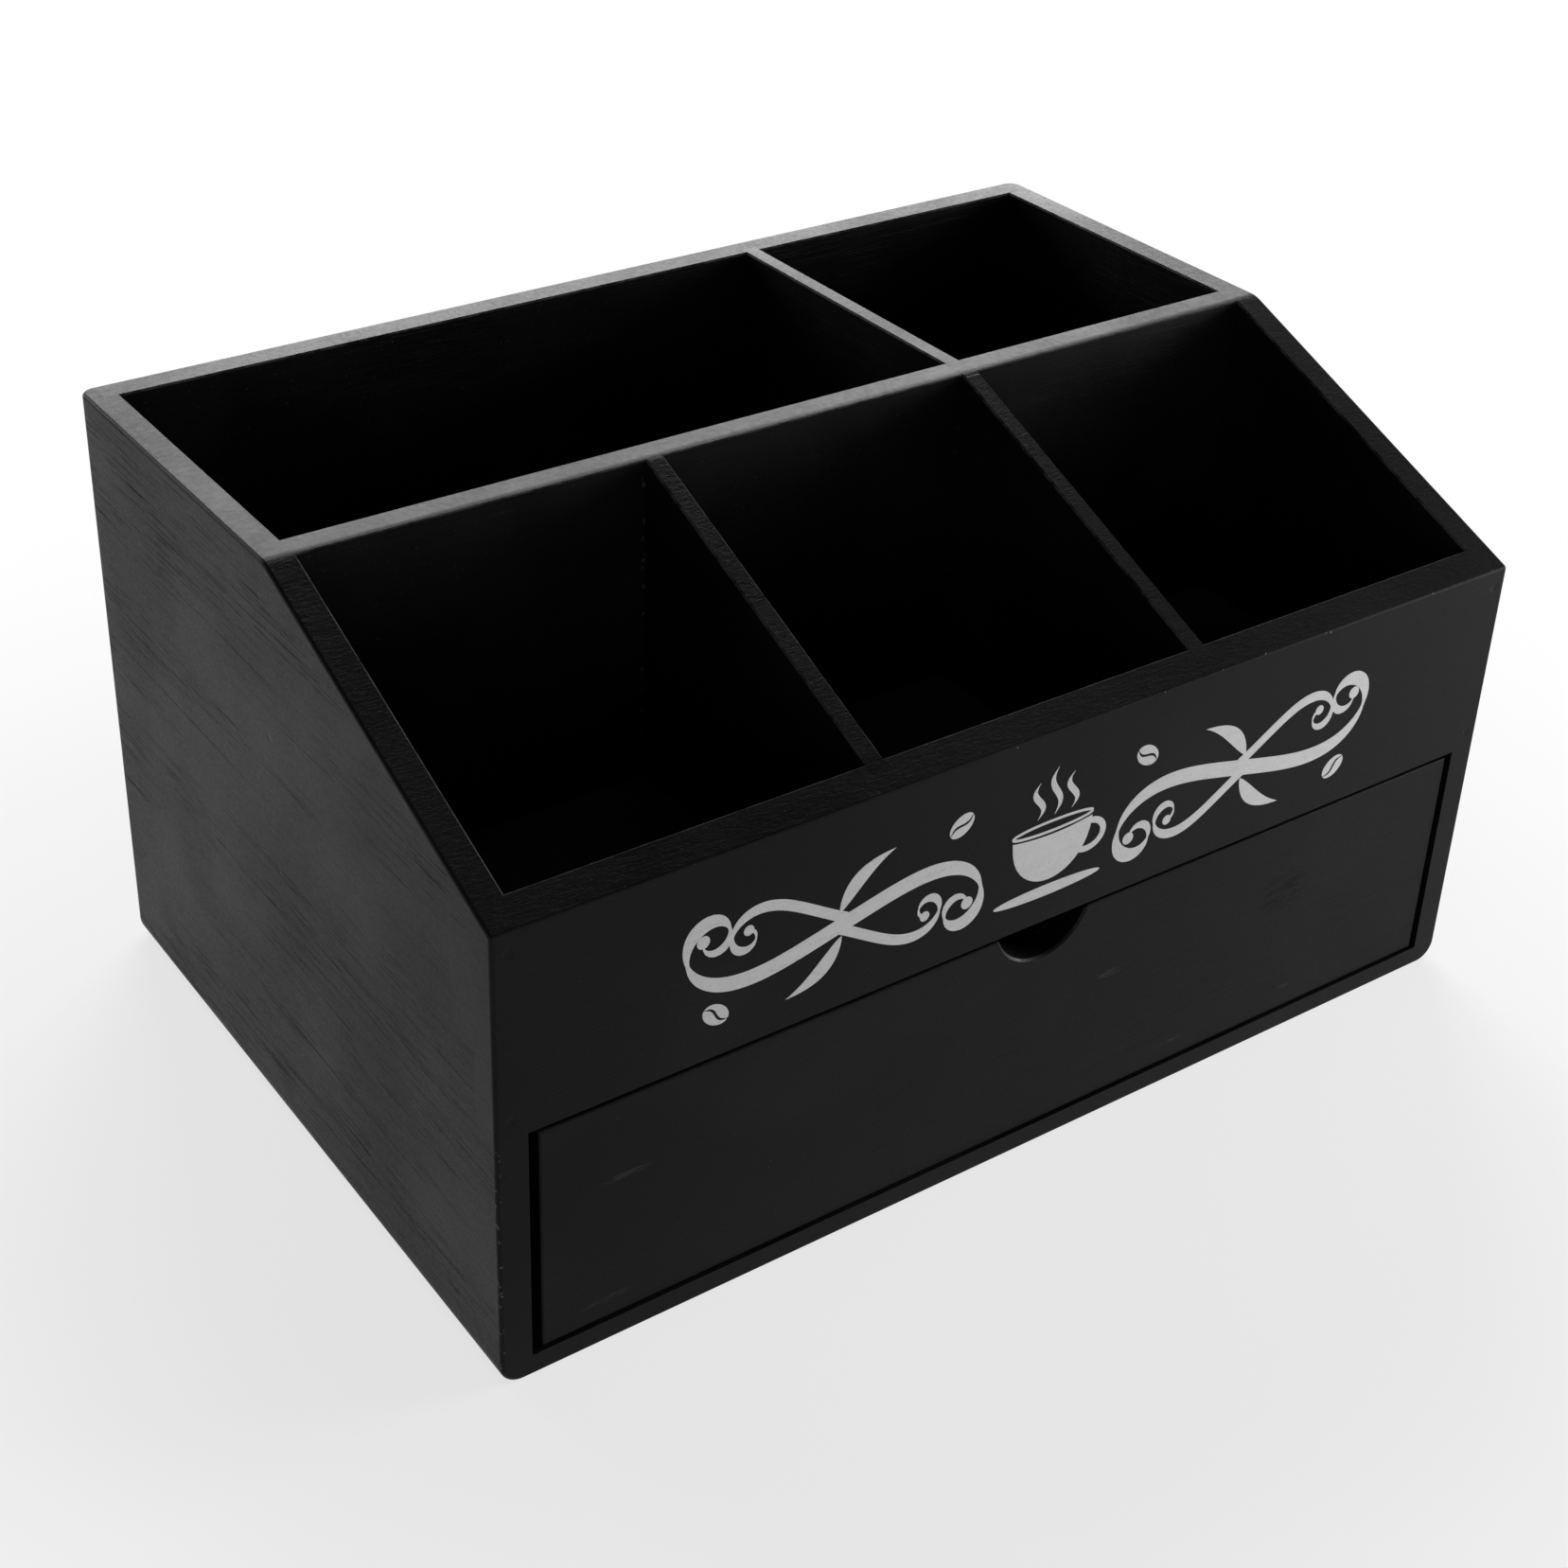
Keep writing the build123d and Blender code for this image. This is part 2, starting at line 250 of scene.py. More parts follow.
BRAD_INSET = 5.5  # from the end of a board to its first brad
PANEL_BRADS = [(0, middle_of("back_panel", Y), z) for z in spread(BRAD_INSET, TOP - BRAD_INSET, 4)]
CROSS_LEVELS = spread(FLOOR_TOP + BRAD_INSET, TOP - 2 * BRAD_INSET, 3)
CROSS_BRADS = [(0, middle_of("cross_divider", Y), z) for z in CROSS_LEVELS]
FASCIA_BRADS = [
    (middle_of(side, X), 0, z)
    for side in ("left_side", "right_side")
    for z in (FASCIA_BOTTOM + BRAD_INSET, FRONT_HEIGHT - BRAD_INSET)
]

# Marks on the boards, mm

FILLERS = {
    # middles of the filled brad holes; the place along the board's thickness doesn't count
    "left_side": PANEL_BRADS + CROSS_BRADS,
    "right_side": PANEL_BRADS + CROSS_BRADS,
    "front_fascia": FASCIA_BRADS,
}
SEAMS = {
    # fine cracks along the grain of the outer face: level, from, to, depth
    "left_side": (
        (103.8, 112, 12, 0.10),
        (38.0, 24, -80, 0.06),
        (84.5, -60, -112, 0.07),
        (141.6, 60, -10, 0.04),
    ),
    "right_side": (
        (92.0, 112, -20, 0.08),
        (46.0, 30, -104, 0.06),
        (150.0, 70, 4, 0.05),
    ),
}
CRACKS = {
    # lowest and highest corner of a gap in the paint over a joint
    "left_side": (
        ((PANEL_LEFT - 0.2, PANEL_FRONT - 0.4, TOP - 1.5), (LEFT_INNER + 0.1, PANEL_FRONT + 0.4, TOP + 0.5)),
    ),
    "front_divider_2": (
        ((48.7, CROSS_FRONT - 1.2, TOP - 5.5), (54.1, CROSS_FRONT - 0.5, TOP + 0.5)),
    ),
}
CHIPS = {
    # lowest and highest corner of a region with chips, their rarity, how much bare wood shows
    "front_fascia": (
        ((-60, FRONT - 0.2, FRONT_HEIGHT - 0.7), (RIGHT, FRONT + 0.9, FRONT_HEIGHT + 0.8), 0.69, 1.0),
        ((-56, FASCIA_BACK - 0.7, 128), (-46, FASCIA_BACK + 4.0, 137), 0.66, 0.35),
    ),
    "cross_divider": (
        ((-151, CROSS_FRONT - 0.3, TOP - 1.3), (151, CROSS_FRONT + 0.7, TOP + 0.2), 0.74, 1.0),
        ((-55.2, CROSS_FRONT - 0.3, 92), (-54.0, CROSS_FRONT + 0.2, TOP - 4.5), 0.58, 0.12),
        ((47.6, CROSS_FRONT - 0.3, 92), (48.8, CROSS_FRONT + 0.2, TOP - 4.5), 0.64, 0.08),
    ),
    "left_side": (((LEFT - 0.2, FRONT - 0.2, 2), (LEFT + 1.1, FRONT + 1.2, 75), 0.60, 0.25),),
}
SCUFFS = {
    # middle x and z, half length, half height, how light
    "drawer_front": (
        (-125, 50, 10, 1.1, 0.5),
        (-130, 13, 9, 1.6, 0.3),
        (28, 47.6, 7, 1.4, 0.5),
        (53, 13.5, 6, 0.7, 0.6),
        (96, 14.5, 3, 0.6, 0.4),
    ),
}
DULL_SPOTS = {
    # middle x and z, half length, half height
    "drawer_front": ((90, 50, 12, 8),),
}

# The box that holds the compartments' rims, whose bevels are rubbed and carry a painted highlight while the
# outer edges aren't, mm
RIMS_LOW = (LEFT_INNER - 0.9, FASCIA_BACK - 1.0, 0)
RIMS_HIGH = (RIGHT_INNER + 0.9, PANEL_FRONT + 0.9, TOP + 4.5)

# Painted wood

BLACK = (0.0052, 0.0052, 0.0053, 1.0)
BLACK_DEEP = (0.0030, 0.0030, 0.0031, 1.0)
BLACK_HAZY = (0.0070, 0.0070, 0.0069, 1.0)  # where hands have dulled it
RUBBED_AND_HIGHLIT = (0.055, 0.054, 0.052, 1.0)  # paint worn thin along an edge, and a painted highlight on the rims' bevels; scuffs and dust take this colour too
BARE_WOOD = (0.42, 0.39, 0.34, 1.0)  # under a chip
PAINT_IOR = 1.17
ROUGH_LOW = 0.375
ROUGH_HIGH = 0.465
ROUGH_CUT = 0.26  # added where the surface is broken
ROUGH_SPECKLE = 0.25  # as much more or less as the speckle says

GRAIN_NOISE = {
    # repeats in a metre across and along the grain, detail, roughness, distortion
    "broad": (60.0, 6.0, 3.0, 0.6, 0.2),
    "ridges": (620.0, 16.0, 4.0, 0.7, 0.0),
    "hairs": (2500.0, 42.0, 2.0, 0.65, 0.0),
    "speckle": (1500.0, 700.0, 3.0, 0.7, 0.0),
}
THROUGH_SHARE = 0.3  # repeats through the board, as a share of those across the grain
PLAIN_NOISE = {
    # repeats in a metre along each axis, detail, roughness
    "cloud": (16.0, 16.0, 16.0, 3.0, 0.55),
    "haze": (19.0, 19.0, 19.0, 1.0, 0.4),
    "edge_wear_and_highlight": (160.0, 160.0, 160.0, 3.0, 0.7),
    "chip_dots": (420.0, 420.0, 420.0, 2.0, 0.6),
    "dust": (1900.0, 1900.0, 1900.0, 0.0, 0.5),
    "saw_marks": (330.0, 0.0, 3000.0, 3.0, 0.75),
    "scuff_streaks": (190.0, 900.0, 1500.0, 3.0, 0.75),
}
SEED_STEPS = (3.7, 5.1, 2.3)  # how far each next board's noise is shifted

# The value of a noise at which each of these starts, and at which it is full
CLOUDS = (0.3, 0.7)
PATCHES = (0.62, 0.92)
PORES = (0.54, 0.66)
SEAM_BREAKS = (0.38, 0.55)
STREAKS = (0.44, 0.60)
HAZE = (0.50, 0.68)
EDGE_WEAR_AND_HIGHLIGHT = (0.35, 0.6)
DUST = (0.80, 0.86)
CHIP_STEP = 0.03  # from a chip's rarity to where it is full

# How squarely a face looks one way when it starts to count as one of these, and when it counts in full
BROAD_FACE = (0.5, 0.9)
STRAIGHT_FACE = (0.90, 0.96)
SLOPE_FACE = (0.96, 0.99)

# Shares
CLOUD_IN_PATCHES = 0.5
PORES_ON_EDGES = 0.1  # of those on a broad face
SEAM_FAINTEST = 0.45
SEAM_FULL = 0.75  # of a seam's half length; from there it fades towards its ends
OVAL_EDGE = (1.0, 0.2)  # square of the share of an oval's radius where a scuff starts, and where it is full
DUST_SHOWN = 0.8

# Relief of the paint, mm
RIDGE_HEIGHT = 0.045
SPECKLE_HEIGHT = 0.032
PORE_DEPTH = 0.048
SAW_MARK_HEIGHT = 0.17
DENT_DEPTH = 0.07
CRACK_DEPTH = 0.35
CHIP_DEPTH = 0.08

# Widths, mm
DENT_RIM = 1.6  # radius where a filled hole starts to sink
DENT_FLOOR = 0.6  # radius where it is deepest
SEAM_LIP = 0.22  # half width of a seam at the surface
SEAM_FLOOR = 0.06
SEAM_WANDER = 0.8
CRACK_SLOPE = 0.35
CHIP_SLOPE = 0.15
RIM_SLOPE = 0.1

BOARDS = {
    # node: axis of its grain, axis of its thickness, how open its pores look, how much duller than the rest
    "left_side": (Y, X, 1.0, 0.0),
    "right_side": (Y, X, 1.0, 0.0),
    "back_panel": (X, Y, 0.8, 0.0),
    "front_fascia": (X, Y, 0.45, 0.0),
    "cross_divider": (X, Y, 0.5, 0.0),
    "rear_divider": (Y, X, 0.5, 0.0),
    "front_divider_1": (Y, X, 0.5, 0.0),
    "front_divider_2": (Y, X, 0.5, 0.0),
    "compartment_floor": (X, Z, 0.6, -0.08),
    "base_panel": (X, Z, 0.8, 0.0),
    "drawer_front": (X, Y, 0.45, 0.0),
    "drawer_left_side": (Y, X, 0.7, 0.05),
    "drawer_right_side": (Y, X, 0.7, 0.05),
    "drawer_back": (X, Y, 0.7, 0.05),
    "drawer_bottom": (X, Z, 0.6, 0.1),
}


class Board:
    """What the steps of one board's material share. height is its relief in mm.
    cut is 1 where the surface is broken, which makes the paint dark and rough."""

    def __init__(self, tree, node, seed):
        self.tree = tree
        self.node = node
        self.grain, self.through, self.pores_shown, self.dull = BOARDS[node]
        self.place = tree.place()
        self.shift = [seed * step for step in SEED_STEPS]
        self.cloud = self.plain_noise("cloud")
        self.ridges = self.grain_noise("ridges")
        self.speckle = self.grain_noise("speckle")
        self.height = 0.0
        self.cut = 0.0

    def plain_noise(self, name):
        *repeats, detail, roughness = PLAIN_NOISE[name]
        return self.tree.noise(self.tree.scaled(self.place, repeats, self.shift), detail, roughness)

    def grain_noise(self, name):
        """Noise drawn out along the board's grain."""
        across, along, detail, roughness, distortion = GRAIN_NOISE[name]
        repeats = [across, across, across]
        repeats[self.through] = across * THROUGH_SHARE
        repeats[self.grain] = along
        vector = self.tree.scaled(self.place, repeats, self.shift)
        return self.tree.noise(vector, detail, roughness, distortion)

    def inside(self, low, high, slope):
        """1 inside a box given in mm, and 0 outside it. It rises over the slope, inwards from the faces."""
        tree = self.tree
        centre = [(a + b) / 2 * MM for a, b in zip(low, high)]
        half = [(b - a) / 2 * MM for a, b in zip(low, high)]
        away = tree.vector("ABSOLUTE", tree.vector("SUBTRACT", self.place, centre))
        x, y, z = tree.split(tree.vector("SUBTRACT", away, half))
        return tree.ramp(tree.math("MAXIMUM", tree.math("MAXIMUM", x, y), z), 0.0, -slope * MM)

    def lift(self, mask, height):
        self.height = self.tree.math("ADD", self.height, self.tree.product(mask, height))

    def sink(self, mask, depth):
        self.height = self.tree.math("SUBTRACT", self.height, self.tree.product(mask, depth))

    def break_open(self, mask):
        self.cut = self.tree.math("MAXIMUM", self.cut, mask)


def slope_faces(tree):
    """1 on the sloping cut edges."""
    return tree.ramp(tree.measure("DOT_PRODUCT", tree.true_normal(), SLOPE_UP), *SLOPE_FACE)


def edge_faces(tree):
    """1 on the small bevels between the boards' main faces."""
    x, y, z = tree.split(tree.vector("ABSOLUTE", tree.true_normal()))
    straight = tree.ramp(tree.math("MAXIMUM", tree.math("MAXIMUM", x, y), z), *STRAIGHT_FACE)
    return tree.math("SUBTRACT", tree.math("SUBTRACT", 1.0, straight), slope_faces(tree), clamp=True)


def pore_mask(board):
    """1 in the open pores, which lie in patches and mostly on the board's broad faces."""
    tree = board.tree
    patches = tree.math("ADD", board.grain_noise("broad"), tree.product(board.cloud, CLOUD_IN_PATCHES))
    facing = tree.split(tree.vector("ABSOLUTE", tree.true_normal()))[board.through]
    shown = tree.ramp(facing, *BROAD_FACE, PORES_ON_EDGES * board.pores_shown, board.pores_shown)
    pores = tree.ramp(board.grain_noise("hairs"), *PORES)
    return tree.product(pores, tree.product(tree.ramp(patches, *PATCHES), shown))


def seam_mask(board, level, start, stop):
    """1 along a fine crack at a level, from one place along Y to another. It wanders with the ridges."""
    tree = board.tree
    _, y, z = tree.split(board.place)
    wander = tree.product(tree.math("SUBTRACT", board.ridges, 0.5), SEAM_WANDER * MM)
    gap = tree.math("ABSOLUTE", tree.math("ADD", tree.math("SUBTRACT", z, level * MM), wander))
    line = tree.ramp(gap, SEAM_LIP * MM, SEAM_FLOOR * MM)
    half = abs(stop - start) / 2 * MM
    from_middle = tree.math("ABSOLUTE", tree.math("SUBTRACT", y, (start + stop) / 2 * MM))
    line = tree.product(line, tree.ramp(from_middle, half, half * SEAM_FULL))
    return tree.product(line, tree.ramp(board.speckle, *SEAM_BREAKS, SEAM_FAINTEST, 1.0))


def dent_mask(board, spot):
    """1 at the middle of a filled brad hole, on both faces of the board."""
    flat = [1.0, 1.0, 1.0]
    flat[board.through] = 0.0
    hole = [value * MM * keep for value, keep in zip(spot, flat)]
    gap = board.tree.measure("DISTANCE", board.tree.vector("MULTIPLY", board.place, flat), hole)
    return board.tree.ramp(gap, DENT_RIM * MM, DENT_FLOOR * MM)


def scuff_mask(board, streaks, middle_x, middle_z, half_length, half_height):
    """The streaks that lie in an oval of the front."""
    tree = board.tree
    x, _, z = tree.split(board.place)
    across = tree.math("DIVIDE", tree.math("SUBTRACT", x, middle_x * MM), half_length * MM)
    up = tree.math("DIVIDE", tree.math("SUBTRACT", z, middle_z * MM), half_height * MM)
    far = tree.math("ADD", tree.product(across, across), tree.product(up, up))
    return tree.product(tree.ramp(far, *OVAL_EDGE), streaks)


def add_grain(board):
    """Ridges along the grain, fine speckle, open pores, and saw marks on the sloping edges."""
    pores = pore_mask(board)
    board.lift(board.ridges, RIDGE_HEIGHT)
    board.lift(board.speckle, SPECKLE_HEIGHT)
    board.sink(pores, PORE_DEPTH)
    board.break_open(pores)
    saw_marks = board.tree.product(board.plain_noise("saw_marks"), slope_faces(board.tree))
    board.lift(saw_marks, SAW_MARK_HEIGHT)


def add_marks(board):
    """The board's seams, filled holes and cracks."""
    for *course, depth in SEAMS.get(board.node, ()):
        seam = seam_mask(board, *course)
        board.sink(seam, depth)
        board.break_open(seam)
    for spot in FILLERS.get(board.node, ()):
        board.sink(dent_mask(board, spot), DENT_DEPTH)
    for low, high in CRACKS.get(board.node, ()):
        crack = board.inside(low, high, CRACK_SLOPE)
        board.sink(crack, CRACK_DEPTH)
        board.break_open(crack)


def add_scuffs(board):
    """The board's dull spots. Returns how far its scuffs have worn the paint."""
    tree = board.tree
    streaks = tree.ramp(board.plain_noise("scuff_streaks"), *STREAKS)
    worn = 0.0
    for *oval, lightness in SCUFFS.get(board.node, ()):
        worn = tree.math("MAXIMUM", worn, tree.product(scuff_mask(board, streaks, *oval), lightness))
    for oval in DULL_SPOTS.get(board.node, ()):
        board.break_open(scuff_mask(board, streaks, *oval))
    return worn


def paint_colour(board, worn):
    """Near black, hazy in places, and lighter where it is rubbed or worn or where dust lies, with a painted
    highlight on the rims' bevels.
    """
    tree = board.tree
    tone = tree.math("SUBTRACT", tree.ramp(board.cloud, *CLOUDS), board.cut, clamp=True)
    colour = tree.mix(tone, BLACK_DEEP, BLACK)
    colour = tree.mix(tree.ramp(board.plain_noise("haze"), *HAZE), colour, BLACK_HAZY)
    # The rims' bevels are paler: paint rubbed thin, and a painted highlight where a rounded edge would catch
    # the light
    rims = tree.product(edge_faces(tree), board.inside(RIMS_LOW, RIMS_HIGH, RIM_SLOPE))
    rubbed_and_highlit = tree.product(rims, tree.ramp(board.plain_noise("edge_wear_and_highlight"), *EDGE_WEAR_AND_HIGHLIGHT))
    colour = tree.mix(tree.math("MAXIMUM", rubbed_and_highlit, worn), colour, RUBBED_AND_HIGHLIT)
    dust = tree.ramp(board.plain_noise("dust"), *DUST, 0.0, DUST_SHOWN)
    return tree.mix(dust, colour, RUBBED_AND_HIGHLIT)


def add_chips(board, colour):
    """Small chips, sunk into the surface. Returns the colour with bare wood in them."""
    tree = board.tree
    dots = board.plain_noise("chip_dots")
    for low, high, rarity, share in CHIPS.get(board.node, ()):
        spots = tree.ramp(dots, rarity, rarity + CHIP_STEP)
        chip = tree.product(board.inside(low, high, CHIP_SLOPE), spots)
        colour = tree.mix(tree.product(chip, share), colour, BARE_WOOD)
        board.sink(chip, CHIP_DEPTH)
    return colour


def paint_roughness(board):
    """Semi-gloss that varies in clouds, rougher where the surface is broken."""
    tree = board.tree
    rough = tree.ramp(board.cloud, *CLOUDS, ROUGH_LOW + board.dull, ROUGH_HIGH + board.dull)
    rough = tree.math("ADD", rough, tree.product(board.cut, ROUGH_CUT))
    fine = tree.product(tree.math("SUBTRACT", board.speckle, 0.5), ROUGH_SPECKLE)
    return tree.math("ADD", rough, fine, clamp=True)


def painted_wood(node, seed):
    """Thin black paint over a board: its grain shows, and it has the marks that the tables give it."""
    made, tree = new_material("paint_" + node)
    board = Board(tree, node, seed)
    add_grain(board)
    add_marks(board)
    worn = add_scuffs(board)
    colour = add_chips(board, paint_colour(board, worn))
    shader = tree.principled(colour, paint_roughness(board), tree.bump(board.height, MM))
    shader.inputs["IOR"].default_value = PAINT_IOR
    return made


for number, node in enumerate(BOARDS, start=1):
    dress(node, painted_wood(node, number))

# Steel of the brads

STEEL_DARK = (0.42, 0.42, 0.43, 1.0)
STEEL_LIGHT = (0.6, 0.6, 0.61, 1.0)
STEEL_ROUGHNESS = (0.25, 0.42)
STEEL_NOISE = (900.0, 900.0, 2500.0)  # repeats in a metre
STEEL_STREAKS = (0.2, 0.8)  # the noise where the roughness starts to rise, and where it is highest
STEEL_RELIEF = 0.03  # mm


def drawn_steel():
    made, tree = new_material("drawn_steel")
    streaks = tree.noise(tree.scaled(tree.place(), STEEL_NOISE), 3.0, 0.6)
    colour = tree.mix(streaks, STEEL_DARK, STEEL_LIGHT)
    roughness = tree.ramp(streaks, *STEEL_STREAKS, *STEEL_ROUGHNESS)
    shader = tree.principled(colour, roughness, tree.bump(streaks, STEEL_RELIEF * MM))
    shader.inputs["Metallic"].default_value = 1.0
    return made


steel = drawn_steel()
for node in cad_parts:
    if node.endswith("brads"):
        dress(node, steel)

# Painted ornament on the front board, mm; its shapes are drawn from the ornament's own middle

ORNAMENT_LEVEL = 101.5  # height of that middle above the table
PAINT_PROUD = 0.05
PAINT_SUNK = 0.03
TAPER_SHARE = 0.16  # of a stroke's length, at each end
TAPER_POWER = 0.8
BEAN_SIZE = (8.2, 5.6)
FURROW_REACH = 0.985  # of a bean's length
FURROW_SWAY = 0.13  # of a bean's width
FURROW_GAP = 0.02  # from its middle line to each side at its ends, of a bean's width
FURROW_SWELL = 0.055  # how much more than that in the middle
LEAF_WIDTH = 4.4
LEAF_LEAN = -2.6
LEAF_SKEW = 0.75  # below 1 moves the widest place towards the start
CUP_RADIUS = 13.0
CUP_LEVEL = 1.6  # of the two ends of the bowl's upper line
CUP_SAG = 1.2  # of that line
CUP_DEPTH = 15.0
CUP_PINCH = 0.12  # how much narrower it gets lower down
CUP_ROUNDNESS = 0.75
RIM_LEVEL = 3.0
RIM_HALF_HEIGHT = 1.5
HANDLE_MIDDLE = (12.0, -4.2)
HANDLE_REACH = 5.2
HANDLE_HALF_HEIGHT = 4.2
SAUCER_LEVEL = -16.6
SAUCER_RADIUS = 17.5
SAUCER_HALF_HEIGHT = 1.7
STEAM_LEVEL = 6.3
STEAM_SWAY = 1.5
STEAM_WISPS = ((-5.5, 11.0), (0.0, 14.0), (5.5, 11.0))  # place along X and height of each
INSIDE_SHAPES = 1  # the triangulation keeps what lies inside the shapes
MERGE_DISTANCE = 0.0005


def swirl(middle, heading, reach, turns, power, side, steps=70):
    """Points of a scroll. It leaves the middle both ways, and each end curls in ever more tightly.
    reach and turns are pairs, one value for each end; side is 1 or -1, the way that both ends curl."""
    ends = []
    for way in (0, 1):
        x, y = middle
        angle = math.radians(heading) + (math.pi if way == 0 else 0)
        step = reach[way] / steps
        gain = side * TURN * turns[way] * (power + 1) / reach[way]
        points = [(x, y)]
        for number in range(steps):
            angle += gain * ((number + 0.5) / steps) ** power * step
            x += math.cos(angle) * step
            y += math.sin(angle) * step
            points.append((x, y))
        ends.append(points)
    return ends[0][:0:-1] + ends[1]


def wave(start, height, sway, steps=28):
    """Points of a rising S-shaped wisp."""
    return [
        (start[0] + sway * math.sin(TURN * number / steps), start[1] + height * number / steps)
        for number in range(steps + 1)
    ]


def stroke(points, thin, thick, nib, tip=0.25):
    """The triangles of a pen stroke along the points. A nib held at an angle in degrees makes it thick one
    way and thin the other. tip is the share of that width at its two ends."""
    rims = []
    last = len(points) - 1
    for number, (x, y) in enumerate(points):
        x0, y0 = points[max(number - 1, 0)]
        x1, y1 = points[min(number + 1, last)]
        angle = math.atan2(y1 - y0, x1 - x0)
        body = abs(math.sin(angle - math.radians(nib)))
        share = min(number, last - number) / last
        taper = tip + (1 - tip) * min(share / TAPER_SHARE, 1.0) ** TAPER_POWER
        half = (thin + (thick - thin) * body) * taper / 2
        nx, ny = -math.sin(angle) * half, math.cos(angle) * half
        rims.append(((x + nx, y + ny), (x - nx, y - ny)))
    triangles = []
    for (left, right), (next_left, next_right) in zip(rims, rims[1:]):
        triangles += [[left, right, next_right], [left, next_right, next_left]]
    return triangles


def even_stroke(points, width, tip):
    """A stroke of one width. With thin and thick alike, the nib's angle makes no difference."""
    return stroke(points, thin=width, thick=width, nib=0, tip=tip)


def ellipse(middle, radius_x, radius_y, corners):
    points = []
    for number in range(corners):
        angle = TURN * number / corners
        points.append((middle[0] + math.cos(angle) * radius_x, middle[1] + math.sin(angle) * radius_y))
    return points


def disc(middle, radius):
    return ellipse(middle, radius, radius, corners=28)


def placed(points, middle, tilt):
    """Points turned by a tilt in degrees and moved to a middle."""
    cosine = math.cos(math.radians(tilt))
    sine = math.sin(math.radians(tilt))
    return [(middle[0] + x * cosine - y * sine, middle[1] + x * sine + y * cosine) for x, y in points]


def bean(middle, tilt, steps=16):
    """Two halves of a coffee bean, with a curved furrow between them."""
    length, width = BEAN_SIZE
    halves = []
    for side in (1, -1):
        outline = []
        furrow = []
        for number in range(steps + 1):
            angle = math.pi * number / steps
            outline.append((math.cos(angle) * length / 2, side * math.sin(angle) * width / 2))
            share = -1 + 2 * number / steps
            sway = FURROW_SWAY * width * math.sin(math.pi * share)
            gap = FURROW_SWELL * width * (1 - share * share) + FURROW_GAP * width
            furrow.append((share * length / 2 * FURROW_REACH, sway + side * gap))
        halves.append(placed(outline[:-1] + furrow, middle, tilt))
    return halves


def leaf(start, stop, steps=18):
    """A pointed, bent leaf between two points."""
    dx, dy = stop[0] - start[0], stop[1] - start[1]
    span = math.hypot(dx, dy)
    ux, uy = dx / span, dy / span
    top, bottom = [], []
    for number in range(steps + 1):
        share = number / steps
        swell = math.sin(math.pi * share ** LEAF_SKEW) * LEAF_WIDTH / 2
        bend = LEAF_LEAN * 4 * share * (1 - share)
        x, y = start[0] + dx * share - uy * bend, start[1] + dy * share + ux * bend
        top.append((x - uy * swell, y + ux * swell))
        bottom.append((x + uy * swell, y - ux * swell))
    return top + bottom[-2:0:-1]


def half_ornament():
    """The scrolls to the right of the cup, with their leaves and beans."""
    main = swirl((64.5, -2.0), heading=-14.0, reach=(78.0, 84.0), turns=(1.25, 1.3), power=2.2, side=1)
    upper = swirl((71.5, 4.0), heading=32.0, reach=(12.0, 45.0), turns=(0.05, 1.05), power=2.0, side=-1)
    lower = swirl((59.5, -7.0), heading=212.0, reach=(12.0, 43.0), turns=(0.05, 1.05), power=2.0, side=-1)
    shapes = stroke(main, thin=0.9, thick=4.6, nib=75)
    shapes += [disc(main[0], 1.8), disc(main[-1], 1.8)]
    for branch in (upper, lower):
        shapes += stroke(branch, thin=0.7, thick=3.0, nib=100)
        shapes.append(disc(branch[-1], 1.45))
    shapes.append(leaf((66.0, 1.5), (50.0, 14.5)))
    shapes.append(leaf((65.0, -5.5), (81.0, -18.0)))
    shapes += bean((30.0, 13.5), tilt=-35.0)
    shapes += bean((101.0, -14.0), tilt=35.0)
    return shapes


def bowl(steps=20):
    """The outline of the cup's body: its sagging upper line, then its round underside."""
    points = []
    for number in range(steps + 1):
        share = -1 + 2 * number / steps
        points.append((share * CUP_RADIUS, CUP_LEVEL - CUP_SAG * (1 - share * share)))
    for number in range(1, steps):
        rise = math.sin(math.pi * number / steps)
        across = math.cos(math.pi * number / steps) * CUP_RADIUS * (1 - CUP_PINCH * rise)
        points.append((across, CUP_LEVEL - CUP_DEPTH * rise ** CUP_ROUNDNESS))
    return points


def handle(steps=30):
    """Points of the cup's handle, an arc from its top round to its bottom."""
    points = []
    for number in range(steps + 1):
        angle = math.radians(100 - 220 * number / steps)
        x = HANDLE_MIDDLE[0] + HANDLE_REACH * math.cos(angle)
        points.append((x, HANDLE_MIDDLE[1] + HANDLE_HALF_HEIGHT * math.sin(angle)))
    return points


def cup():
    """A cup on a saucer with three wisps of steam."""
    rim = ellipse((0.0, RIM_LEVEL), CUP_RADIUS, RIM_HALF_HEIGHT, corners=40)
    shapes = [bowl()]
    shapes += even_stroke(rim + rim[:1], width=0.8, tip=1.0)
    shapes += even_stroke(handle(), width=1.9, tip=0.9)
    shapes.append(ellipse((0.0, SAUCER_LEVEL), SAUCER_RADIUS, SAUCER_HALF_HEIGHT, corners=60))
    for x, height in STEAM_WISPS:
        shapes += stroke(wave((x, STEAM_LEVEL), height, STEAM_SWAY), thin=0.5, thick=1.9, nib=50, tip=0.15)
    return shapes


def joined(shapes):
    """The corners and triangles of the area that the shapes cover together."""
    corners, faces = [], []
    for shape in shapes:
        area = sum(a[0] * b[1] - b[0] * a[1] for a, b in zip(shape, shape[1:] + shape[:1]))
        faces.append(list(range(len(corners), len(corners) + len(shape))))
        corners += [Vector(point) for point in (shape if area > 0 else shape[::-1])]
    result = delaunay_2d_cdt(corners, [], faces, INSIDE_SHAPES, MERGE_DISTANCE)
    places, _, triangles, _, _, covered_by = result
    return places, [list(triangle) for triangle, covering in zip(triangles, covered_by) if covering]


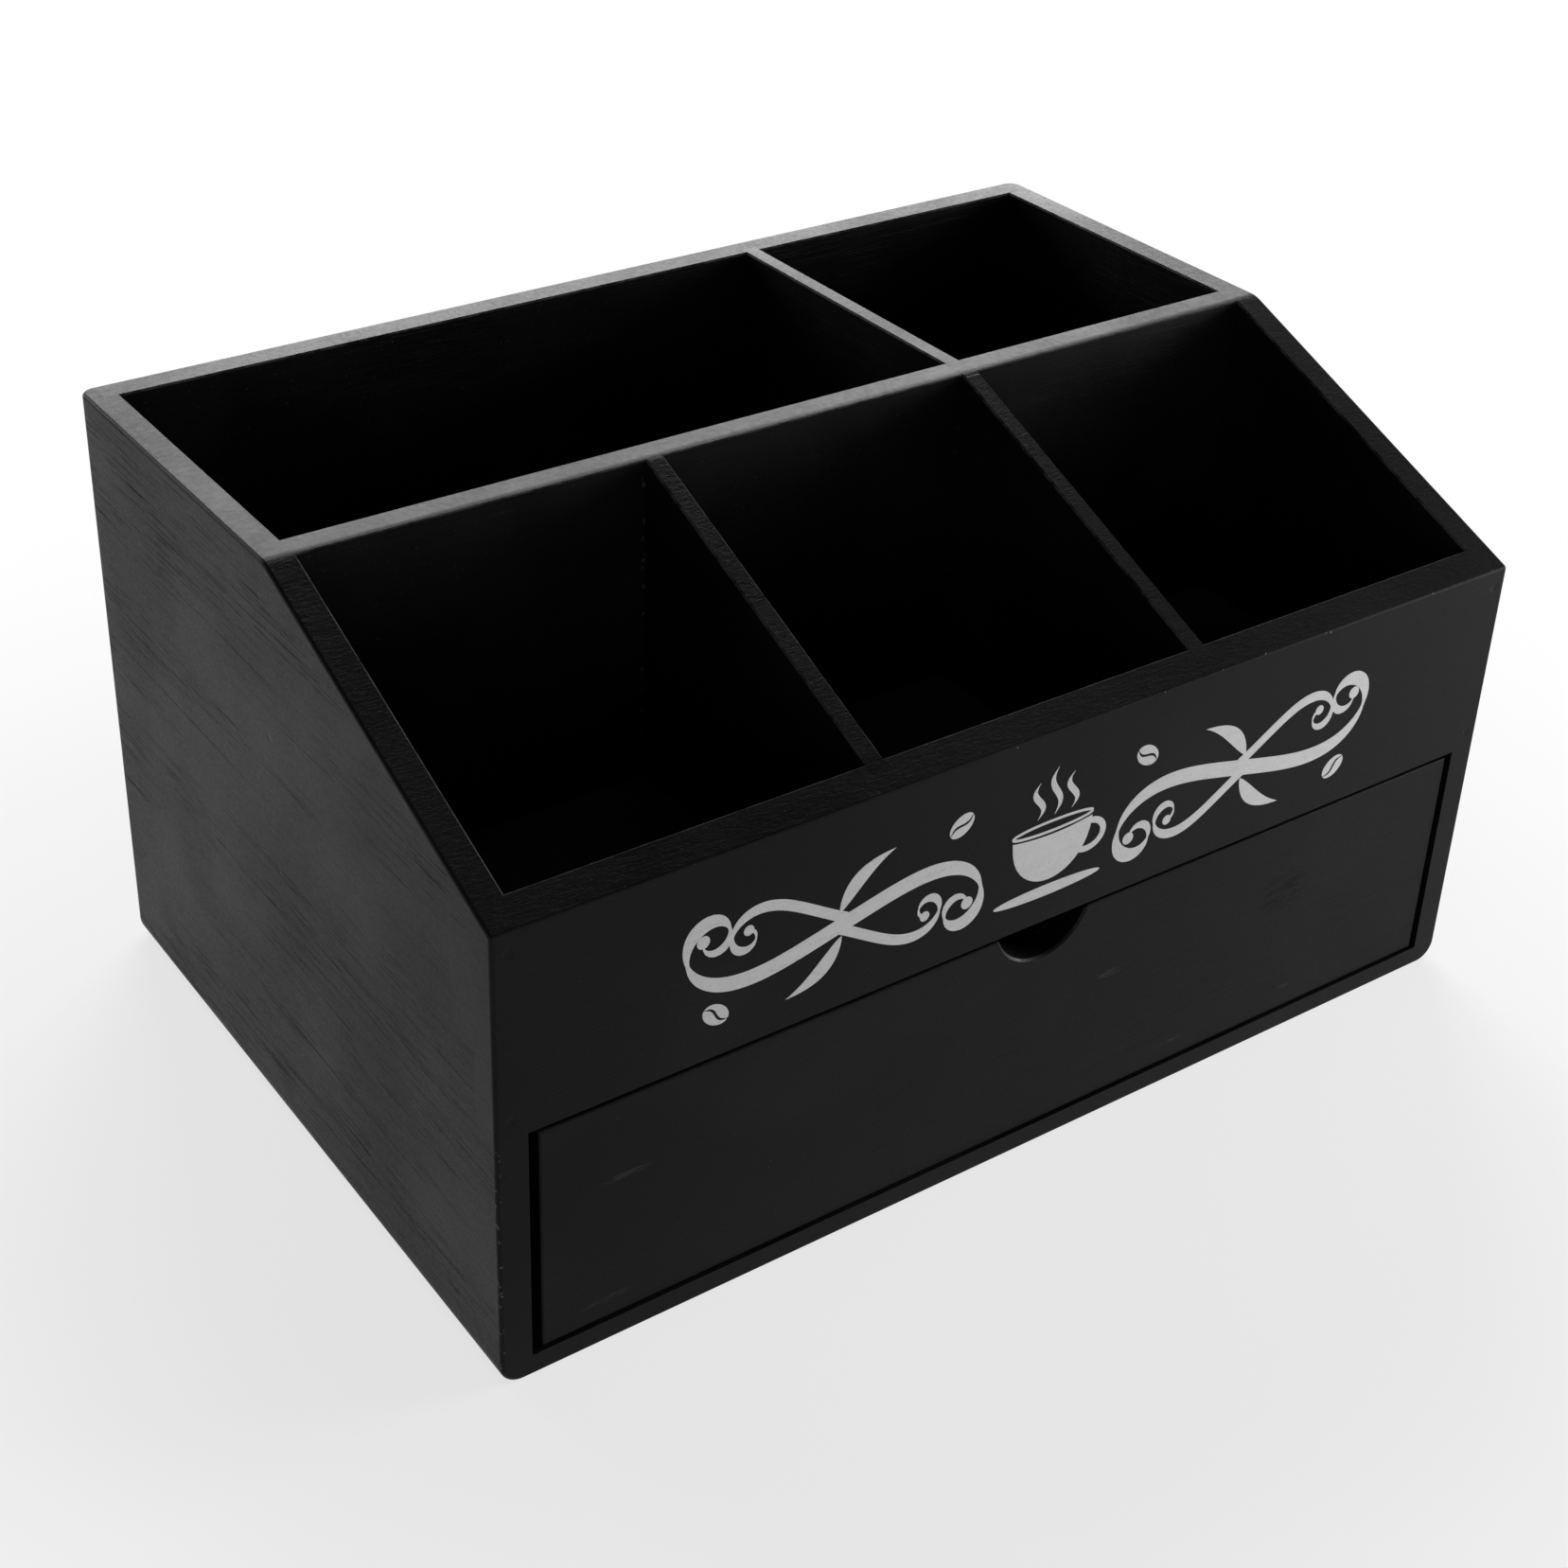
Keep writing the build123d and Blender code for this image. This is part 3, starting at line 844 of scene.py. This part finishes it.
def film(places, triangles):
    """The vertices and polygons of a thin closed film: its front, its back and its rim."""
    levels = (cad_low.y - PAINT_PROUD * MM, cad_low.y + PAINT_SUNK * MM)
    vertices = [(p.x * MM, level, (ORNAMENT_LEVEL + p.y) * MM) for level in levels for p in places]
    sides = [(a, b) for triangle in triangles for a, b in zip(triangle, triangle[1:] + triangle[:1])]
    known = set(sides)
    behind = len(places)
    polygons = [tuple(triangle) for triangle in triangles]
    polygons += [tuple(behind + corner for corner in reversed(triangle)) for triangle in triangles]
    polygons += [(b, a, behind + a, behind + b) for a, b in sides if (b, a) not in known]
    return vertices, polygons


def make_ornament():
    """The white paint on the front board: the scrolls, their mirror image and the cup, as one closed mesh."""
    half = half_ornament()
    mirrored = [[(-x, y) for x, y in shape] for shape in half]
    vertices, polygons = film(*joined(half + mirrored + cup()))
    mesh = bpy.data.meshes.new("painted_ornament")
    mesh.from_pydata(vertices, [], polygons)
    mesh.validate()
    ornament = bpy.data.objects.new("painted_ornament", mesh)
    scene.collection.objects.link(ornament)
    mesh.materials.append(white_film())
    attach(ornament, "carcass")


# White paint

WHITE_LOW = (0.72, 0.72, 0.715, 1.0)
WHITE_HIGH = (0.84, 0.84, 0.835, 1.0)
GAP_COLOUR = (0.12, 0.12, 0.12, 1.0)  # where the black shows through
GAPS = (0.76, 0.90)
GAP_SHOWN = 0.6
GRAIN_IN_GAPS = 0.35
PIN_NOISE = (2300.0, 2300.0, 3000.0)  # repeats in a metre, as in the next two
STREAK_NOISE = (60.0, 900.0, 900.0)
CLOUD_NOISE = (220.0, 220.0, 220.0)
WHITE_ROUGHNESS = (0.55, 0.7)
WHITE_IOR = 1.35
WHITE_RELIEF = 0.04  # mm


def white_film():
    """Flat white stencil paint, with tiny gaps where the black shows through."""
    made, tree = new_material("white_film")
    place = tree.place()
    pins = tree.noise(tree.scaled(place, PIN_NOISE), 2.0, 0.6)
    grain = tree.noise(tree.scaled(place, STREAK_NOISE), 3.0, 0.6)
    cloud = tree.noise(tree.scaled(place, CLOUD_NOISE), 2.0, 0.5)
    gap = tree.ramp(tree.math("ADD", pins, tree.product(grain, GRAIN_IN_GAPS)), *GAPS)
    colour = tree.mix(cloud, WHITE_LOW, WHITE_HIGH)
    colour = tree.mix(tree.product(gap, GAP_SHOWN), colour, GAP_COLOUR)
    relief = tree.bump(tree.math("SUBTRACT", grain, gap), WHITE_RELIEF * MM)
    shader = tree.principled(colour, tree.ramp(cloud, *CLOUDS, *WHITE_ROUGHNESS), relief)
    shader.inputs["IOR"].default_value = WHITE_IOR
    return made


make_ornament()

# Floor and world, in metres

FLOOR_HALF = 12.0
FLOOR_COLOUR = (0.82, 0.82, 0.82, 1.0)
WHITE = (1.0, 1.0, 1.0, 1.0)
FLOOR_FADE = (0.2, 0.45)  # distance from the middle
WHITE_SHARE = 0.72  # of plain white in the floor that the camera sees near the middle
SKY_FADE = (0.3, 0.6)  # rise of the line of sight, as a share of its length


def seen_directly(tree):
    """1 for what the camera sees, straight or in a reflection, and 0 for the light that falls on things."""
    path = tree.node("ShaderNodeLightPath").outputs
    mirrored = tree.math("MAXIMUM", path["Is Glossy Ray"], path["Is Transmission Ray"])
    return tree.math("MAXIMUM", path["Is Camera Ray"], mirrored)


def floor_material():
    """Pale and lit near the object, plain white further away."""
    made, tree = new_material("floor")
    lit = tree.node("ShaderNodeBsdfDiffuse")
    lit.inputs["Color"].default_value = FLOOR_COLOUR
    white = tree.node("ShaderNodeEmission")
    white.inputs["Color"].default_value = WHITE
    distance = tree.measure("LENGTH", tree.place())
    share = tree.product(tree.ramp(distance, *FLOOR_FADE, WHITE_SHARE, 1.0), seen_directly(tree))
    blend = tree.node("ShaderNodeMixShader")
    tree.put(share, blend.inputs[0])
    tree.put(lit.outputs[0], blend.inputs[1])
    tree.put(white.outputs[0], blend.inputs[2])
    tree.surface(blend)
    return made


def make_floor():
    """One large pale floor, which fades to white away from the object."""
    mesh = bpy.data.meshes.new("floor")
    corners = [(x * FLOOR_HALF, y * FLOOR_HALF, 0) for x, y in ((-1, -1), (1, -1), (1, 1), (-1, 1))]
    mesh.from_pydata(corners, [], [(0, 1, 2, 3)])
    floor = bpy.data.objects.new("floor", mesh)
    scene.collection.objects.link(floor)
    mesh.materials.append(floor_material())


def make_world():
    """A world that looks white near the horizon and is dark overhead, and lights nothing."""
    world = bpy.data.worlds.new("world")
    world.use_nodes = True
    scene.world = world
    tree = ShaderTree(world.node_tree)
    up = tree.split(tree.node("ShaderNodeTexCoord").outputs["Generated"])["Z"]
    shade = tree.node("ShaderNodeBackground")
    tree.put(tree.product(tree.ramp(up, *SKY_FADE, 1.0, 0.0), seen_directly(tree)), shade.inputs["Color"])
    tree.surface(shade, "ShaderNodeOutputWorld")


make_floor()
make_world()

# Lamps, in metres

LAMP_AIM = Vector((0.0, 0.0, 0.08))
LAMPS = (
    # name, bearing from +X in degrees, level distance, height, width, depth, power
    ("back", 60, 1.2, 0.6, 1.0, 0.8, 20),
    ("front_right", 340, 1.5, 0.35, 0.7, 0.6, 15),
    ("front_left", 240, 1.5, 0.35, 0.7, 0.6, 2),
    ("top", 225, 0.4, 1.8, 1.0, 1.0, 3),
    ("right_high", 10, 0.56, 0.6, 0.2, 0.2, 0.2),
    ("left_rear_near", 117, 0.65, 0.35, 0.3, 0.2, 1),
    ("front_right_near", 337, 0.6, 0.1, 0.3, 0.15, 1),
)


def make_lamp(name, bearing, distance, height, width, depth, power):
    """A square or oblong soft lamp that the camera doesn't see."""
    data = bpy.data.lights.new(name, "AREA")
    data.shape = "RECTANGLE"
    data.size = width
    data.size_y = depth
    data.energy = power
    lamp = bpy.data.objects.new(name, data)
    lamp.visible_camera = False
    scene.collection.objects.link(lamp)
    turn = math.radians(bearing)
    lamp.location = (math.cos(turn) * distance, math.sin(turn) * distance, height)
    lamp.rotation_mode = "QUATERNION"
    lamp.rotation_quaternion = (LAMP_AIM - lamp.location).to_track_quat("-Z", "Y")


for lamp in LAMPS:
    make_lamp(*lamp)
